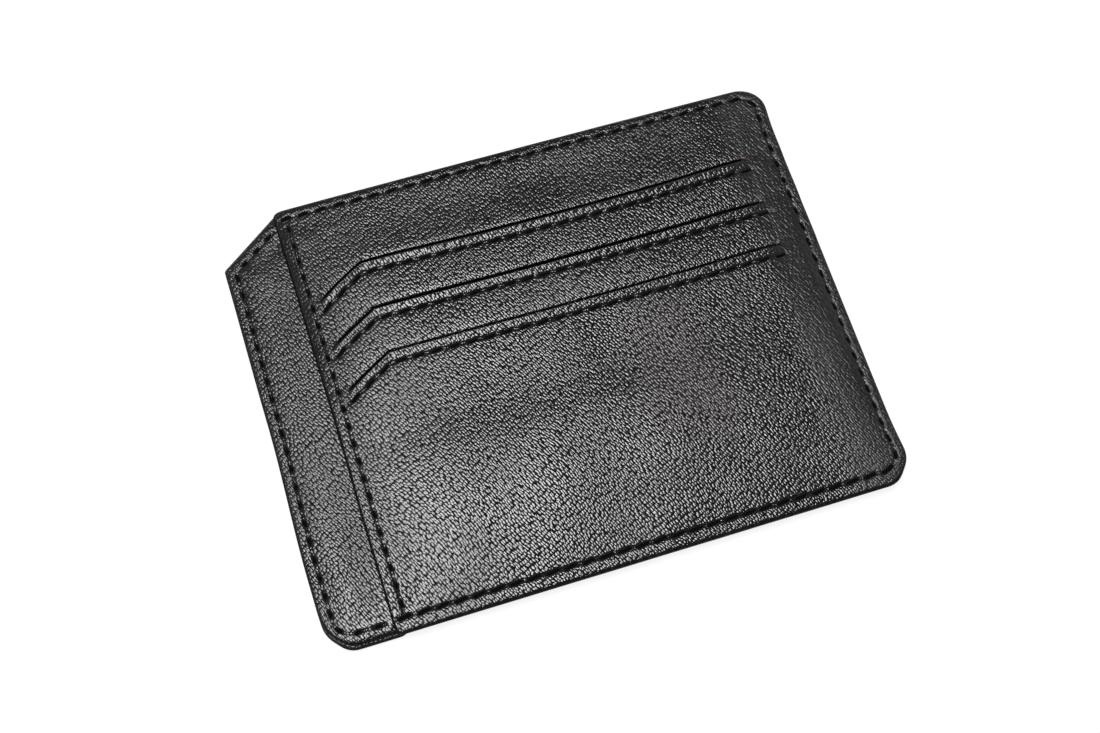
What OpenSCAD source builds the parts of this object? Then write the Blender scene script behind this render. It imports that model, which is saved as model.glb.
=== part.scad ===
// Card holder of sewn leather, lying on its back.
// A slotted front panel with three slanted card slots lies on a base panel, whose left margin
// shows with its top corner cut off. Behind the base panel is a cash pocket, open at the top.
// x runs across the width, y from the bottom edge to the top edge, z out of the front.
// The origin is under the middle of the outline, on the plane that the back rests on.

/* [Cards] */
// Width of a card
card_w = 85.6; // [70:0.1:105]
// Height of a card
card_h = 54; // [44:0.1:66]
// Thickness of a card
card_t = 0.76; // [0.3:0.01:1.2]
// Height of a card that stands out of its slot
card_show = 7.5; // [4:0.1:12]

/* [Outline] */
// Width of the plain margin left of the slotted panel
strip_w = 11.8; // [8:0.1:20]
// Height of the cut-off corner
cut_h = 9.3; // [6:0.1:16]
// How far the cut-off corner reaches under the slotted panel, past its folded edge
cut_past = 0.8; // [0:0.1:1.5]
// Radius of the rounded corners
corner_r = 5.5; // [4:0.1:8]
// Radius at the two ends of the cut-off corner
tip_r = 0.8; // [0.3:0.1:2]

/* [Slots] */
// Clearance of a card to each end of its slot
slot_clear = 1.2; // [0.8:0.1:3]
// Slot end to the folded left edge of the slotted panel
slot_left = 4.6; // [4.4:0.1:8]
// Slot end to the right edge
slot_right = 7.6; // [6:0.1:14]
// Straight part of the top slot to the top edge
slot_from_top = 16.2; // [12:0.1:24]
// Step from one slot to the next
slot_pitch = 9.5; // [7:0.1:14]
// Length along x of a slot's slanted left end
slot_ramp = 8.7; // [5:0.1:14]
// Height that the slanted end falls
slot_drop = 4.3; // [2:0.1:5]
// Width of the slit
slit_w = 0.7; // [0.4:0.05:1.2]
// Diameter of the punched holes at the slit's ends
slit_hole_d = 1.2; // [0.8:0.1:2]

/* [Layers] */
// Thickness of the leather
leather_t = 0.8; // [0.6:0.05:1.4]
// Thickness of the skived leather that is turned in at the edges, and of the boards
turn_in_t = 0.4; // [0.3:0.05:0.6]
// Width of the leather that is turned in
turn_in_w = 8; // [6:0.1:12]
// Thickness of the lining fabric
lining_t = 0.1; // [0.08:0.01:0.2]
// Gap between plies that are glued or lie on each other
ply_gap = 0.03; // [0.02:0.01:0.1]
// Clearance of a card in its pocket
card_play = 0.06; // [0.04:0.01:0.4]

/* [Cash pocket] */
// Height of the cash pocket inside
cash_gap = 0.8; // [0.4:0.05:2]
// How far the back bulges below its seam
back_belly = 0.45; // [0.3:0.05:1]
// How far the pocket's mouth stands open
mouth_gap = 0.4; // [0.1:0.05:0.8]

/* [Sewing] */
// Stitch row to the edge
seam_inset = 2.1; // [1.6:0.1:2.6]
// Stitch row to the folded left edge of the slotted panel
fold_inset = 2.3; // [1.6:0.1:2.6]
// Stitch row below each slit
slot_seam = 2.3; // [1.6:0.1:3]
// Length of one stitch
stitch_pitch = 3.5; // [2.5:0.1:5]
// Thread left unseen in a needle hole
stitch_hole = 0.6; // [0.4:0.05:1]
// Thread diameter
thread_d = 0.45; // [0.3:0.05:0.6]
// Width of the groove that the stitches pull into the leather
groove_w = 0.7; // [0.5:0.05:0.9]
// Width of the slopes beside that groove
groove_lip = 0.1; // [0.05:0.05:0.2]
// Depth of the groove
groove_depth = 0.35; // [0.2:0.05:0.45]
// Rise of a stitch between its holes
stitch_rise = 0.14; // [0.05:0.01:0.3]

/* [Hidden] */

leather_colour = [0.09, 0.09, 0.10];
lining_colour = [0.16, 0.15, 0.15];
board_colour = [0.45, 0.38, 0.30];
thread_colour = [0.04, 0.04, 0.04];

$fn = 32;
tiny = 0.01;
// Facets in a rounded corner, at a cut-off end, and parts of a straight side
corner_steps = 6;
tip_steps = 2;
side_parts = 4;
// Facets of a turned edge, and lines of the slotted panel's edge as shares of its thickness
nose_steps = 6;
nose_shares = [0, 0.1, 0.3, 0.5];
// Share of its thickness that is left at the slotted panel's very edge
nose_low = 0.3;

// Sizes that follow from the cards and the margins
slot_count = 3;
slot_len = card_w + 2*slot_clear;
pocket_depth = card_h - card_show;
// Pocket bottom to the seam below it, and to the bottom edge
foot_room = 2.2;
pocket_foot = seam_inset + foot_room;
body_w = strip_w + slot_left + slot_len + slot_right;
body_h = slot_from_top + (slot_count - 1)*slot_pitch + pocket_depth + pocket_foot;
cut_w = strip_w + cut_past;
cut_len = norm([cut_w, cut_h]);

// Places across the width: folded edge, slot ends, and the bend of a slot
fold_x = -body_w/2 + strip_w;
slot_x0 = fold_x + slot_left;
slot_x1 = slot_x0 + slot_len;
bend_x = slot_x0 + slot_ramp;
// Ends of the slopes in which leather comes down beside the pockets
drape_x0 = fold_x + fold_inset + groove_w/2 + groove_lip;
drape_x1 = body_w/2 - seam_inset - groove_w/2 - groove_lip;

// Heights of the layers at the seam. A half is flat for a little beside its seam, then swells
edge_t = leather_t + turn_in_t;
half_t = edge_t + ply_gap + lining_t;
seam_flat = 0.45;
slope_start = seam_inset + groove_w/2 + seam_flat;
seam_z = back_belly + half_t + ply_gap/2;
front_rise = cash_gap - back_belly;
bag_gap = card_t + card_play;
// Fabric of the pocket bags to the edges, so that the seams catch it
bag_inset = 1;
// Length over which leather comes down past an edge of a bag's fabric
bag_fade = 0.5;
// Rear fabric glued above a slit, as much as fits under the row or the turned edge above it
flap_most = 6;
flap_room = 1;
bag_flap = min(flap_most, slot_pitch - slot_seam - flap_room, slot_from_top - turn_in_w - flap_room);
// Height over which a pocket closes towards its bottom
bag_taper = 3;

function slot_y(k) = body_h/2 - slot_from_top - k*slot_pitch;
function bag_y(k) = slot_y(k) - pocket_depth;

// Small helpers
function clamp01(t) = min(1, max(0, t));
function smooth(t) = let (u = clamp01(t)) u*u*(3 - 2*u);
function mix(a, b, t) = a + (b - a)*t;
function unit(p) = p/norm(p);
function turned(p, a) = [p.x*cos(a) - p.y*sin(a), p.x*sin(a) + p.y*cos(a)];
function last(list) = list[len(list) - 1];
function reversed(list) = [for (k = [len(list) - 1:-1:0]) list[k]];
function sorted(list) =
    len(list) == 0 ? [] :
    let (t = list[0])
    concat(sorted([for (u = list) if (u < t) u]), t, sorted([for (u = list) if (u > t) u]));

// Outline drawn in by d: its corners, counterclockwise from bottom left, each [x, y, radius]
function corners(d, more_r = 0) = let (r = max(corner_r - d, tip_r) + more_r) [
    [-body_w/2 + d, -body_h/2 + d, r],
    [body_w/2 - d, -body_h/2 + d, r],
    [body_w/2 - d, body_h/2 - d, r],
    [-body_w/2 + cut_w + d*(cut_len - cut_w)/cut_h, body_h/2 - d, tip_r + more_r],
    [-body_w/2 + d, body_h/2 - cut_h - d*(cut_len - cut_h)/cut_w, tip_r + more_r]
];

// Points of the rounded corner at v between the sides from p and to q
function fillet(p, v, q, steps) =
    let (
        a = unit([v.x - p.x, v.y - p.y]),
        b = unit([q.x - v.x, q.y - v.y]),
        turn = atan2(cross(a, b), a*b),
        centre = [v.x, v.y] - a*v.z*tan(turn/2) + [-a.y, a.x]*v.z
    )
    [for (k = [0:steps]) centre + v.z*turned([a.y, -a.x], turn*k/steps)];

function corner_arcs(d, more_r = 0, more_steps = 0) =
    let (
        c = corners(d, more_r),
        n = len(c),
        steps = function (i) (i < 3 ? corner_steps : tip_steps) + more_steps
    )
    [for (i = [0:n - 1]) fillet(c[(i + n - 1) % n], c[i], c[(i + 1) % n], steps(i))];

// Closed ring of points of the outline drawn in by d, from the middle of the first corner
function ring(d) =
    let (
        arcs = corner_arcs(d),
        n = len(arcs),
        side = function (i)
            [for (k = [1:side_parts - 1]) mix(last(arcs[i]), arcs[(i + 1) % n][0], k/side_parts)],
        points = [for (i = [0:n - 1]) each concat(arcs[i], side(i))]
    )
    [for (k = [0:len(points) - 1]) points[(k + corner_steps/2) % len(points)]];

// Share of the pillow that is reached at inset d from the outline
function pillow(d) = smooth((d - slope_start)/(turn_in_w - slope_start));
// Lift of the front half at the pocket's mouth, which fades out this far below the top edge
mouth_fade = [16, 4];
function mouth(p) =
    let (
        half = (body_w - strip_w)/2,
        across = (p.x - fold_x - half)/half,
        depth = body_h/2 - p.y
    )
    mouth_gap*max(0, 1 - across*across)*smooth((mouth_fade[0] - depth)/(mouth_fade[0] - mouth_fade[1]));
// Height of the front half over its seam, and of the back half over its lowest plane
function front_lift(p, d) = mix(mouth(p), front_rise, pillow(d));
function back_lift(p, d) = back_belly*(1 - pillow(d));

// Insets at which a half bends, from the seam to where it is flat
slope_insets = [for (k = [0:4]) mix(slope_start, turn_in_w, k/4)];

// Solid skinned over rings of the outline, from the ring inside its underside to that on its top
module loft(rings) {
    n = len(rings[0]);
    m = len(rings);
    top = (m - 1)*n;
    polyhedron(
        points = [for (r = rings) each r],
        faces = [
            for (i = [1:n - 2]) [0, i, i + 1],
            for (i = [1:n - 2]) [top, top + i + 1, top + i],
            for (j = [0:m - 2]) for (i = [0:n - 1])
                let (a = j*n + i, b = j*n + (i + 1) % n)
                each [[a, a + n, b + n], [a, b + n, b]]
        ]
    );
}

// Ring at inset d whose points stand at height z plus the lift of the front or the back half
function front_ring(d, z) = [for (p = ring(d)) [p.x, p.y, z + front_lift(p, d)]];
function back_ring(d, z) = [for (p = ring(d)) [p.x, p.y, z + back_lift(p, d)]];

// Section of a leather panel with its edge turned in, as [inset, height] from its inner face
// round the edge to its outer face, which looks up
turned_section = concat(
    [[turn_in_w + tiny, turn_in_t]],
    [for (d = reversed(slope_insets)) [d, 0]],
    [for (k = [0:nose_steps]) let (a = -90 - 180*k/nose_steps) edge_t/2*[1 + cos(a), 1 + sin(a)]],
    [for (d = slope_insets) [d, edge_t]]
);

// Band of the outline that the stitch groove takes up, rounded a little more than the edge
module groove_band() {
    difference() {
        inset_outline(seam_inset - groove_w/2);
        inset_outline(seam_inset + groove_w/2);
    }
}

module inset_outline(d) {
    polygon([for (arc = corner_arcs(d, groove_w/2, 1)) each arc]);
}

// Board that fills a panel inside the leather that is turned in
module stiffener(z) {
    color(board_colour)
        translate([0, 0, z])
            linear_extrude(turn_in_t - ply_gap)
                polygon(ring(turn_in_w + 3*ply_gap));
}

module back_panel() {
    color(leather_colour)
        difference() {
            loft(reversed([for (s = turned_section) back_ring(s[0], edge_t - s[1])]));
            translate([0, 0, back_belly - leather_t])
                linear_extrude(leather_t + groove_depth)
                    groove_band();
        }
}

module back_stiffener() {
    stiffener(leather_t + ply_gap);
}

module back_lining() {
    insets = concat([edge_t], slope_insets);
    color(lining_colour)
        loft(concat(
            [for (d = reversed(insets)) back_ring(d, edge_t + ply_gap)],
            [for (d = insets) back_ring(d, edge_t + ply_gap + lining_t)]));
}

module base_lining() {
    insets = concat([edge_t], slope_insets);
    color(lining_colour)
        loft(concat(
            [for (d = reversed(insets)) front_ring(d, seam_z + ply_gap/2)],
            [for (d = insets) front_ring(d, seam_z + ply_gap/2 + lining_t)]));
}

base_z = seam_z + lining_t + 1.5*ply_gap;

module base_stiffener() {
    stiffener(base_z + front_rise);
}

module base_panel() {
    color(leather_colour)
        difference() {
            loft([for (s = turned_section) front_ring(s[0], base_z + s[1])]);
            translate([0, 0, base_z + edge_t - groove_depth])
                linear_extrude(leather_t)
                    intersection() {
                        groove_band();
                        translate([-body_w, -body_h])
                            square([body_w + fold_x, 2*body_h]);
                    }
        }
}

// Slots: how far the slanted end has fallen at x, and a slot's middle line there
function ramp(x) = slot_drop*clamp01((bend_x - x)/slot_ramp);
function slit_y(k, x) = slot_y(k) - ramp(x);

// Distance from a point of the slotted panel to the outline
function edge_distance(p) =
    let (
        a = body_w/2 - p.x,
        b = body_h/2 - abs(p.y),
        in_corner = a < corner_r && b < corner_r
    )
    in_corner ? corner_r - norm([corner_r - a, corner_r - b]) : min(a, b);

// Share of a card's room that a bag has between its walls at x, and that by which leather
// draped over it stands up, coming down only at the stitch rows
function bag_room(x) = smooth((x - slot_x0)/slot_clear)*smooth((slot_x1 - x)/slot_clear);
function bag_drape(x) =
    smooth((x - drape_x0)/(slot_x0 + slot_clear - drape_x0))
    *smooth((drape_x1 - x)/(drape_x1 - slot_x1 + slot_clear));

// Height that pocket bag k takes up at p. Past the bag's bottom what lies on it comes down in a
// slope as long as the step to the next bag, or as far as the bottom seam leaves room
function bag_foot(k) = k == slot_count - 1 ? bag_y(k) - bag_fade : bag_y(k) + bag_taper - slot_pitch;
function bag_height(k, p) =
    let (
        foot = bag_foot(k),
        below = p.y < slit_y(k, p.x) - tiny,
        walls = clamp01((p.y - foot)/(bag_y(k) - foot)),
        room = smooth((p.y - foot)/(bag_y(k) + bag_taper - foot)),
        draped = smooth((slit_y(k, p.x) - slot_seam - p.y)/slot_pitch),
        flap = clamp01((slit_y(k, p.x) + bag_flap + bag_fade - p.y)/bag_fade)
    )
    below ? walls*2*(lining_t + ply_gap) + room*bag_gap*mix(bag_room(p.x), bag_drape(p.x), draped)
          : flap*(lining_t + ply_gap);

// Height over the base panel of the first n pocket bags at p
function stack(n, p) = n == 0 ? 0 : stack(n - 1, p) + bag_height(n - 1, p);
function base_top(p) = base_z + edge_t + front_lift(p, edge_distance(p));

// Underside and thickness of the slotted panel, thicker where its edges are turned in
function panel_under(p) = base_top(p) + ply_gap + stack(slot_count, p);
function panel_inset(p) = min(edge_distance(p), p.x - fold_x);
function panel_thick(p) = leather_t + turn_in_t*(1 - clamp01(panel_inset(p)/turn_in_w));
function panel_floor(p) = panel_under(p) + panel_thick(p) - groove_depth;

// One in the middle of a groove and zero beside it, by the distance to its row
function groove(t) = clamp01((groove_w/2 + groove_lip - abs(t))/groove_lip);
function slot_groove(k, p) =
    groove(slit_y(k, p.x) - slot_seam - p.y)
    *clamp01((p.x - slot_x0 + stitch_hole)/stitch_hole)
    *clamp01((slot_x1 + stitch_hole - p.x)/stitch_hole);
function panel_groove(p) =
    max(groove(edge_distance(p) - seam_inset), groove(p.x - fold_x - fold_inset),
        max([for (k = [0:slot_count - 1]) slot_groove(k, p)]));

// Half height of the slotted panel's rounded edge, as a share of its half thickness
function nose(d) = max(nose_low, sqrt(1 - pow(1 - clamp01(2*d/edge_t), 2)));
function panel_point(p, side) =
    let (half = panel_thick(p)/2, up = half*nose(panel_inset(p)), mid = panel_under(p) + half)
    [p.x, p.y, side > 0 ? mid + up - groove_depth*panel_groove(p) : mid - up];

// Lines of the slotted panel's grid: insets at its edges, and lines beside a stitch row
nose_insets = edge_t*nose_shares;
function row_lines(t) = [for (d = [groove_w/2, groove_w/2 + groove_lip]) each [t - d, t + d]];
edge_insets = concat(nose_insets, row_lines(seam_inset), [pocket_foot - bag_fade, corner_r]);
fold_insets = concat(nose_insets, row_lines(fold_inset));
bag_columns = concat(
    [drape_x0, slot_x0 - stitch_hole, slot_x0, slot_x0 + slot_clear/2, slot_x0 + slot_clear, bend_x],
    [slot_x1 - slot_clear, slot_x1 - slot_clear/2, slot_x1, slot_x1 + stitch_hole],
    [body_w/2 - corner_r, body_w/2 - pocket_foot + bag_fade, drape_x1]);
columns = sorted(concat(
    bag_columns,
    [for (d = fold_insets) fold_x + d],
    [for (k = [1:3]) mix(bend_x, slot_x1 - slot_clear, k/4)],
    [for (d = edge_insets) body_w/2 - d]));
slot_lines = concat(row_lines(-slot_seam), [-slit_w/2, slit_w/2, bag_flap, bag_flap + bag_fade]);
function slot_rows(k) = [for (d = slot_lines) slot_y(k) + d];
function foot_rows(k) = [for (d = [0, bag_taper/2, bag_taper]) bag_y(k) + d];
field_low = bag_y(0) + bag_taper;
field_high = slot_rows(slot_count - 1)[0];
rows = sorted(concat(
    [for (d = edge_insets) each [d - body_h/2, body_h/2 - d]],
    [for (k = [0:slot_count - 1]) each concat(foot_rows(k), slot_rows(k))],
    [body_h/2 - turn_in_w, bag_foot(slot_count - 1)],
    [for (t = [1/3, 2/3]) mix(field_low, field_high, t)]));

// A row of the grid follows the slots' slanted ends beside them and is straight at the edges
function slant(v) =
    let (top = slot_y(0) + bag_flap + bag_fade, edge = body_h/2 - corner_r)
    v > top ? clamp01((edge - v)/(edge - top)) : clamp01((v - field_low)/(field_high - field_low));
function slanted(x, v) = [x, v - ramp(x)*slant(v)];

// The two right corners of the grid are rounded, each inset line going round as an arc
function rounded(p) =
    let (
        s = sign(p.y),
        c = [body_w/2 - corner_r, s*(body_h/2 - corner_r)],
        a = p.x - c.x,
        b = s*(p.y - c.y),
        far = max(a, b),
        angle = a > b ? 45*b/a : 90 - 45*a/max(b, tiny)
    )
    a > 0 && b > 0 ? [c.x + far*cos(angle), c.y + s*far*sin(angle)] : p;
panel_grid = [for (x = columns) [for (v = rows) rounded(slanted(x, v))]];

// Sheet between two grids of points [column][row], the outer one looking up along +x and +y
module sheet(outer, inner) {
    n = len(outer);
    m = len(outer[0]);
    function at(side, i, j) = (side*n + i)*m + j;
    polyhedron(
        points = concat([for (line = outer) each line], [for (line = inner) each line]),
        faces = [
            for (i = [0:n - 2]) for (j = [0:m - 2]) for (s = [0, 1])
                let (
                    quad = [at(s, i, j), at(s, i, j + 1), at(s, i + 1, j + 1), at(s, i + 1, j)],
                    first = j < m/2 ? 1 : 0,
                    a = quad[first],
                    b = quad[first + 1],
                    c = quad[first + 2],
                    d = quad[(first + 3) % 4]
                )
                each s == 0 ? [[a, b, c], [a, c, d]] : [[a, c, b], [a, d, c]],
            for (j = [0:m - 2])
                each [
                    [at(0, 0, j), at(1, 0, j), at(1, 0, j + 1)],
                    [at(0, 0, j), at(1, 0, j + 1), at(0, 0, j + 1)],
                    [at(0, n - 1, j), at(1, n - 1, j + 1), at(1, n - 1, j)],
                    [at(0, n - 1, j), at(0, n - 1, j + 1), at(1, n - 1, j + 1)]
                ],
            for (i = [0:n - 2])
                each [
                    [at(0, i, 0), at(1, i + 1, 0), at(1, i, 0)],
                    [at(0, i, 0), at(0, i + 1, 0), at(1, i + 1, 0)],
                    [at(0, i, m - 1), at(1, i, m - 1), at(1, i + 1, m - 1)],
                    [at(0, i, m - 1), at(1, i + 1, m - 1), at(0, i + 1, m - 1)]
                ]
        ]
    );
}

// Outline of slit k: a slanted and a straight cut that end in punched holes
module slit(k) {
    slope = atan2(slot_drop, slot_ramp);
    ends = [for (x = [slot_x0 + slit_hole_d/2, slot_x1 - slit_hole_d/2]) [x, slit_y(k, x)]];
    for (p = ends)
        translate(p)
            circle(d = slit_hole_d);
    translate([bend_x, slot_y(k)]) {
        circle(d = slit_w);
        rotate(180 + slope)
            translate([0, -slit_w/2])
                square([norm(ends[0] - [bend_x, slot_y(k)]), slit_w]);
        translate([0, -slit_w/2])
            square([ends[1].x - bend_x, slit_w]);
    }
}

// Height of the slits' cuts, more than that of the whole holder
cut_z = 4*half_t + slot_count*(bag_gap + 4*lining_t);

module slotted_panel() {
    color(leather_colour)
        difference() {
            sheet(
                [for (line = panel_grid) [for (p = line) panel_point(p, 1)]],
                [for (line = panel_grid) [for (p = line) panel_point(p, -1)]]);
            for (k = [0:slot_count - 1])
                linear_extrude(cut_z)
                    slit(k);
        }
}

// Pocket bag k: one sheet of fabric, down its rear wall, round its bottom fold and up its front wall
module pocket_lining(k) {
    low = bag_y(k);
    feet = sorted([for (j = [0:k]) each foot_rows(j)]);
    xs = concat(fold_x + bag_inset, bag_columns, body_w/2 - bag_inset);
    function wall(x) = concat([for (y = feet) max(y, low + lining_t)], slit_y(k, x) - slit_w/2);
    function rear(p) = base_top(p) + ply_gap + stack(k, p);
    function opening(p) = bag_room(p.x)*smooth((p.y - low)/bag_taper)*bag_gap + ply_gap;
    function fabric(x, y, front, outer) =
        let (p = [x, outer && y < low + lining_t + tiny ? low : y], inside = outer ? 0 : lining_t)
        [p.x, p.y, rear(p) + (front ? 2*lining_t + opening(p) - inside : inside)];
    function strip(x, outer) = concat(
        [for (y = concat(slit_y(k, x) + bag_flap, reversed(wall(x)))) fabric(x, y, false, outer)],
        [for (y = wall(x)) fabric(x, y, true, outer)]);
    color(lining_colour)
        sheet([for (x = xs) strip(x, true)], [for (x = xs) strip(x, false)]);
}

module pocket_lining_top() {
    pocket_lining(0);
}

module pocket_lining_middle() {
    pocket_lining(1);
}

module pocket_lining_bottom() {
    pocket_lining(2);
}

// Lengths along a path of points, and the point at length s
function lengths(path, i = 0, s = 0) =
    i == len(path) - 1 ? [s] : concat(s, lengths(path, i + 1, s + norm(path[i + 1] - path[i])));
function at_length(path, along, s) =
    let (i = min(len([for (t = along) if (t <= s) t]), len(path) - 1) - 1)
    mix(path[i], path[i + 1], (s - along[i])/(along[i + 1] - along[i]));

// Ends of the stitches that share out a path evenly
function stitches(path) =
    let (along = lengths(path), n = round(last(along)/stitch_pitch), step = last(along)/n)
    [for (k = [0:n - 1])
        [for (s = [k*step + stitch_hole/2, (k + 1)*step - stitch_hole/2]) at_length(path, along, s)]];

// One stitch: an arch of thread between two points of its groove's floor
module stitch(a, b) {
    span = norm(b - a);
    radius = (span*span/4 + stitch_rise*stitch_rise)/(2*stitch_rise);
    half = asin(span/2/radius);
    rise = asin((b.z - a.z)/span);
    translate((a + b)/2)
        rotate([0, -rise, atan2(b.y - a.y, b.x - a.x)])
            translate([0, 0, thread_d/2 + ply_gap + stitch_rise - radius])
                rotate([90, 0, 0])
                    rotate([0, 0, 90 - half])
                        rotate_extrude(angle = 2*half)
                            translate([radius, 0])
                                circle(d = thread_d);
}

// Rows of the outline: round the bottom and right of the slotted panel, along its top, and round
// the margin from the cut-off corner to the bottom. They stop short of the folded edge
row_arcs = corner_arcs(seam_inset);
row_end = edge_t/2;
row_low = seam_inset - body_h/2;
side_row = concat([[fold_x + row_end, row_low]], row_arcs[1], [row_arcs[2][0]]);
top_row = concat(row_arcs[2], [row_arcs[3][0]]);
margin_x = fold_x - row_end;
margin_row = let (start = row_arcs[4][0], slope = [1, cut_h/cut_w])
    concat([start + slope*(margin_x - start.x)], row_arcs[4], row_arcs[0], [[margin_x, row_low]]);
fold_half = body_h/2 - seam_inset - groove_w;
fold_row = [for (y = [-fold_half, fold_half]) [fold_x + fold_inset, y]];
// Row under slit k, sewn straight to its bend and on from there
function slot_row(k, xs) = [for (x = xs) [x, slit_y(k, x) - slot_seam]];

// Stitches of a row on the slotted panel, on the margin, and on the back
module panel_stitches(path) {
    color(thread_colour)
        for (s = stitches(path))
            stitch([s[0].x, s[0].y, panel_floor(s[0])], [s[1].x, s[1].y, panel_floor(s[1])]);
}

module margin_stitches(path) {
    z = base_z + edge_t - groove_depth;
    color(thread_colour)
        for (s = stitches(path))
            stitch([s[0].x, s[0].y, z], [s[1].x, s[1].y, z]);
}

module slot_stitches(k) {
    panel_stitches(slot_row(k, [slot_x0 - stitch_hole, bend_x]));
    panel_stitches(slot_row(k, [bend_x, slot_x1 + stitch_hole]));
}

module back_stitches(path) {
    z = -back_belly - groove_depth;
    color(thread_colour)
        mirror([0, 0, 1])
            for (s = stitches(path))
                stitch([s[0].x, s[0].y, z], [s[1].x, s[1].y, z]);
}

module side_seam_front_thread() {
    panel_stitches(side_row);
    margin_stitches(margin_row);
}

module side_seam_back_thread() {
    back_stitches(side_row);
    back_stitches(margin_row);
}

module front_hem_thread() {
    panel_stitches(top_row);
}

module back_hem_thread() {
    back_stitches(top_row);
}

module fold_edge_thread() {
    panel_stitches(fold_row);
}

module slot_thread_top() {
    slot_stitches(0);
}

module slot_thread_middle() {
    slot_stitches(1);
}

module slot_thread_bottom() {
    slot_stitches(2);
}

back_panel();
back_stiffener();
back_lining();
base_lining();
base_stiffener();
base_panel();
pocket_lining_top();
pocket_lining_middle();
pocket_lining_bottom();
slotted_panel();
side_seam_front_thread();
side_seam_back_thread();
front_hem_thread();
back_hem_thread();
fold_edge_thread();
slot_thread_top();
slot_thread_middle();
slot_thread_bottom();
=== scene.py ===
"""Looks of a black leather card holder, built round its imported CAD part.

Shapes are worked out in millimetres, in the frame of the part, and become metres in make_mesh().
"""

import math

import bpy
import numpy as np
from mathutils import Matrix, Vector


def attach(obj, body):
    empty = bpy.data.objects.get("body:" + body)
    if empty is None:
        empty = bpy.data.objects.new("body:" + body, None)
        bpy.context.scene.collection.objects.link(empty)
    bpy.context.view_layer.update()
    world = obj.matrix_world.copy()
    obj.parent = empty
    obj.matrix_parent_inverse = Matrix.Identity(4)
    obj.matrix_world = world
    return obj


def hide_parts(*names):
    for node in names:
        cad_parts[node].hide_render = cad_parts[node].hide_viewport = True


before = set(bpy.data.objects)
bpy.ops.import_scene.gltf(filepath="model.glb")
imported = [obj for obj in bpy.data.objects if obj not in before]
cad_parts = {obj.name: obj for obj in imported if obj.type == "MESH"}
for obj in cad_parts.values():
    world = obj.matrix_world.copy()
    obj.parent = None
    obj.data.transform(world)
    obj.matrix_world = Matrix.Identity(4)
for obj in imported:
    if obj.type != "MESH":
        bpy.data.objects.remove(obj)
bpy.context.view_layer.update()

MM = 0.001
TINY = 1e-6

# Outline
BODY_W, BODY_H = 112.0, 86.0
HALF_W, HALF_H = BODY_W / 2, BODY_H / 2
STRIP_W, CUT_H, CUT_PAST = 11.8, 9.3, 0.8
CORNER_R, TIP_R, FOLD_R = 5.5, 0.8, 1.2
FOLD_X = STRIP_W - HALF_W
# Counterclockwise from bottom left come the round corners, then the two of the cut
ROUND_CORNERS, SIDES = 3, 5

# Slits, and the pocket behind each
PLACES = ("top", "middle", "bottom")
SLOT_X0, SLOT_X1, BEND_X, SLOT_DROP = -40.2, 48.4, -30.8, 5.1
SLOT_Y = (26.8, 17.3, 7.8)
SLOT_PITCH = SLOT_Y[0] - SLOT_Y[1]
BAG_Y = (-19.7, -29.2, -38.7)
SLIT_GAPS = (1.1, 0.8, 0.6)
RAMP_GAPS = (0.75, 0.7, 0.65)
HOLE_R = 0.48
FLAP = 6.0

# Layers
LEATHER_T, EDGE_T, TURN_IN_W = 0.8, 1.2, 8.0
LINING_T, PLY_GAP = 0.1, 0.03
BACK_BELLY, CASH_GAP, MOUTH_GAP = 0.45, 0.8, 0.4
SEAM_Z = BACK_BELLY + EDGE_T + LINING_T + 1.5 * PLY_GAP
BASE_Z = SEAM_Z + LINING_T + 1.5 * PLY_GAP
FRONT_RISE = CASH_GAP - BACK_BELLY
# Linings and pocket bags end this far inside the outline
LINING_INSET, BAG_INSET = 1.3, 1.1
# An empty pocket lies nearly shut
EMPTY_GAP = 0.12
# Width over which a turned edge is round
NOSE_W = 0.6
# A turned edge rolls down over the layer under it, the folded one more at its top
FRONT_ROLL, HALF_ROLL, FOLD_ROLL, ROLL_W, ROLL_POWER = 0.4, 0.3, (0.15, 0.75), 1.9, 1.5
# The halves end this far inside the slotted panel's edge, coming back to their place over TUCK_W
TUCK, TUCK_W = 0.6, 3.5
# Leather is dull nearer to an edge than SIDE_W, and where stitches pull it down further than PIT
SIDE_W, PIT = 0.4, 0.3

# Sewing
SEAM_INSET, FOLD_INSET, SLOT_SEAM = 2.1, 2.3, 2.3
STITCH_PITCH, STITCH_HOLE, THREAD_R, STITCH_SLANT = 3.5, 0.6, 0.18, 0.13
# Past the seam, the leather starts to rise here
SLOPE_START = 2.9


def smooth(t):
    u = np.clip(t, 0.0, 1.0)
    return u * u * (3 - 2 * u)


def rise(far, start, width):
    """Zero up to start, one past start + width, and smooth between."""
    return smooth((far - start) / width)


def mix(a, b, t):
    return a + (b - a) * t


def bell(t, width):
    return np.exp(-((t / width) ** 2))


# Outline, rows of stitches

def outline_corners(d):
    """Corners of the outline drawn in by d, counterclockwise from bottom left, each (x, y, radius)."""
    cut = STRIP_W + CUT_PAST - HALF_W
    flat = np.array([(-HALF_W, -HALF_H), (HALF_W, -HALF_H), (HALF_W, HALF_H), (cut, HALF_H), (-HALF_W, HALF_H - CUT_H)])
    sides = np.roll(flat, -1, 0) - flat
    sides /= np.linalg.norm(sides, axis=1)[:, None]
    found = []
    for i, p in enumerate(flat):
        before, after = sides[i - 1], sides[i]
        turn = math.atan2(before[0] * after[1] - before[1] * after[0], before @ after)
        across = np.array([-before[1], before[0]]) + np.array([-after[1], after[0]])
        q = p + across * d / (1 + math.cos(turn))
        found.append((q[0], q[1], max(CORNER_R - d, TIP_R) if i < ROUND_CORNERS else TIP_R))
    return found


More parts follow.
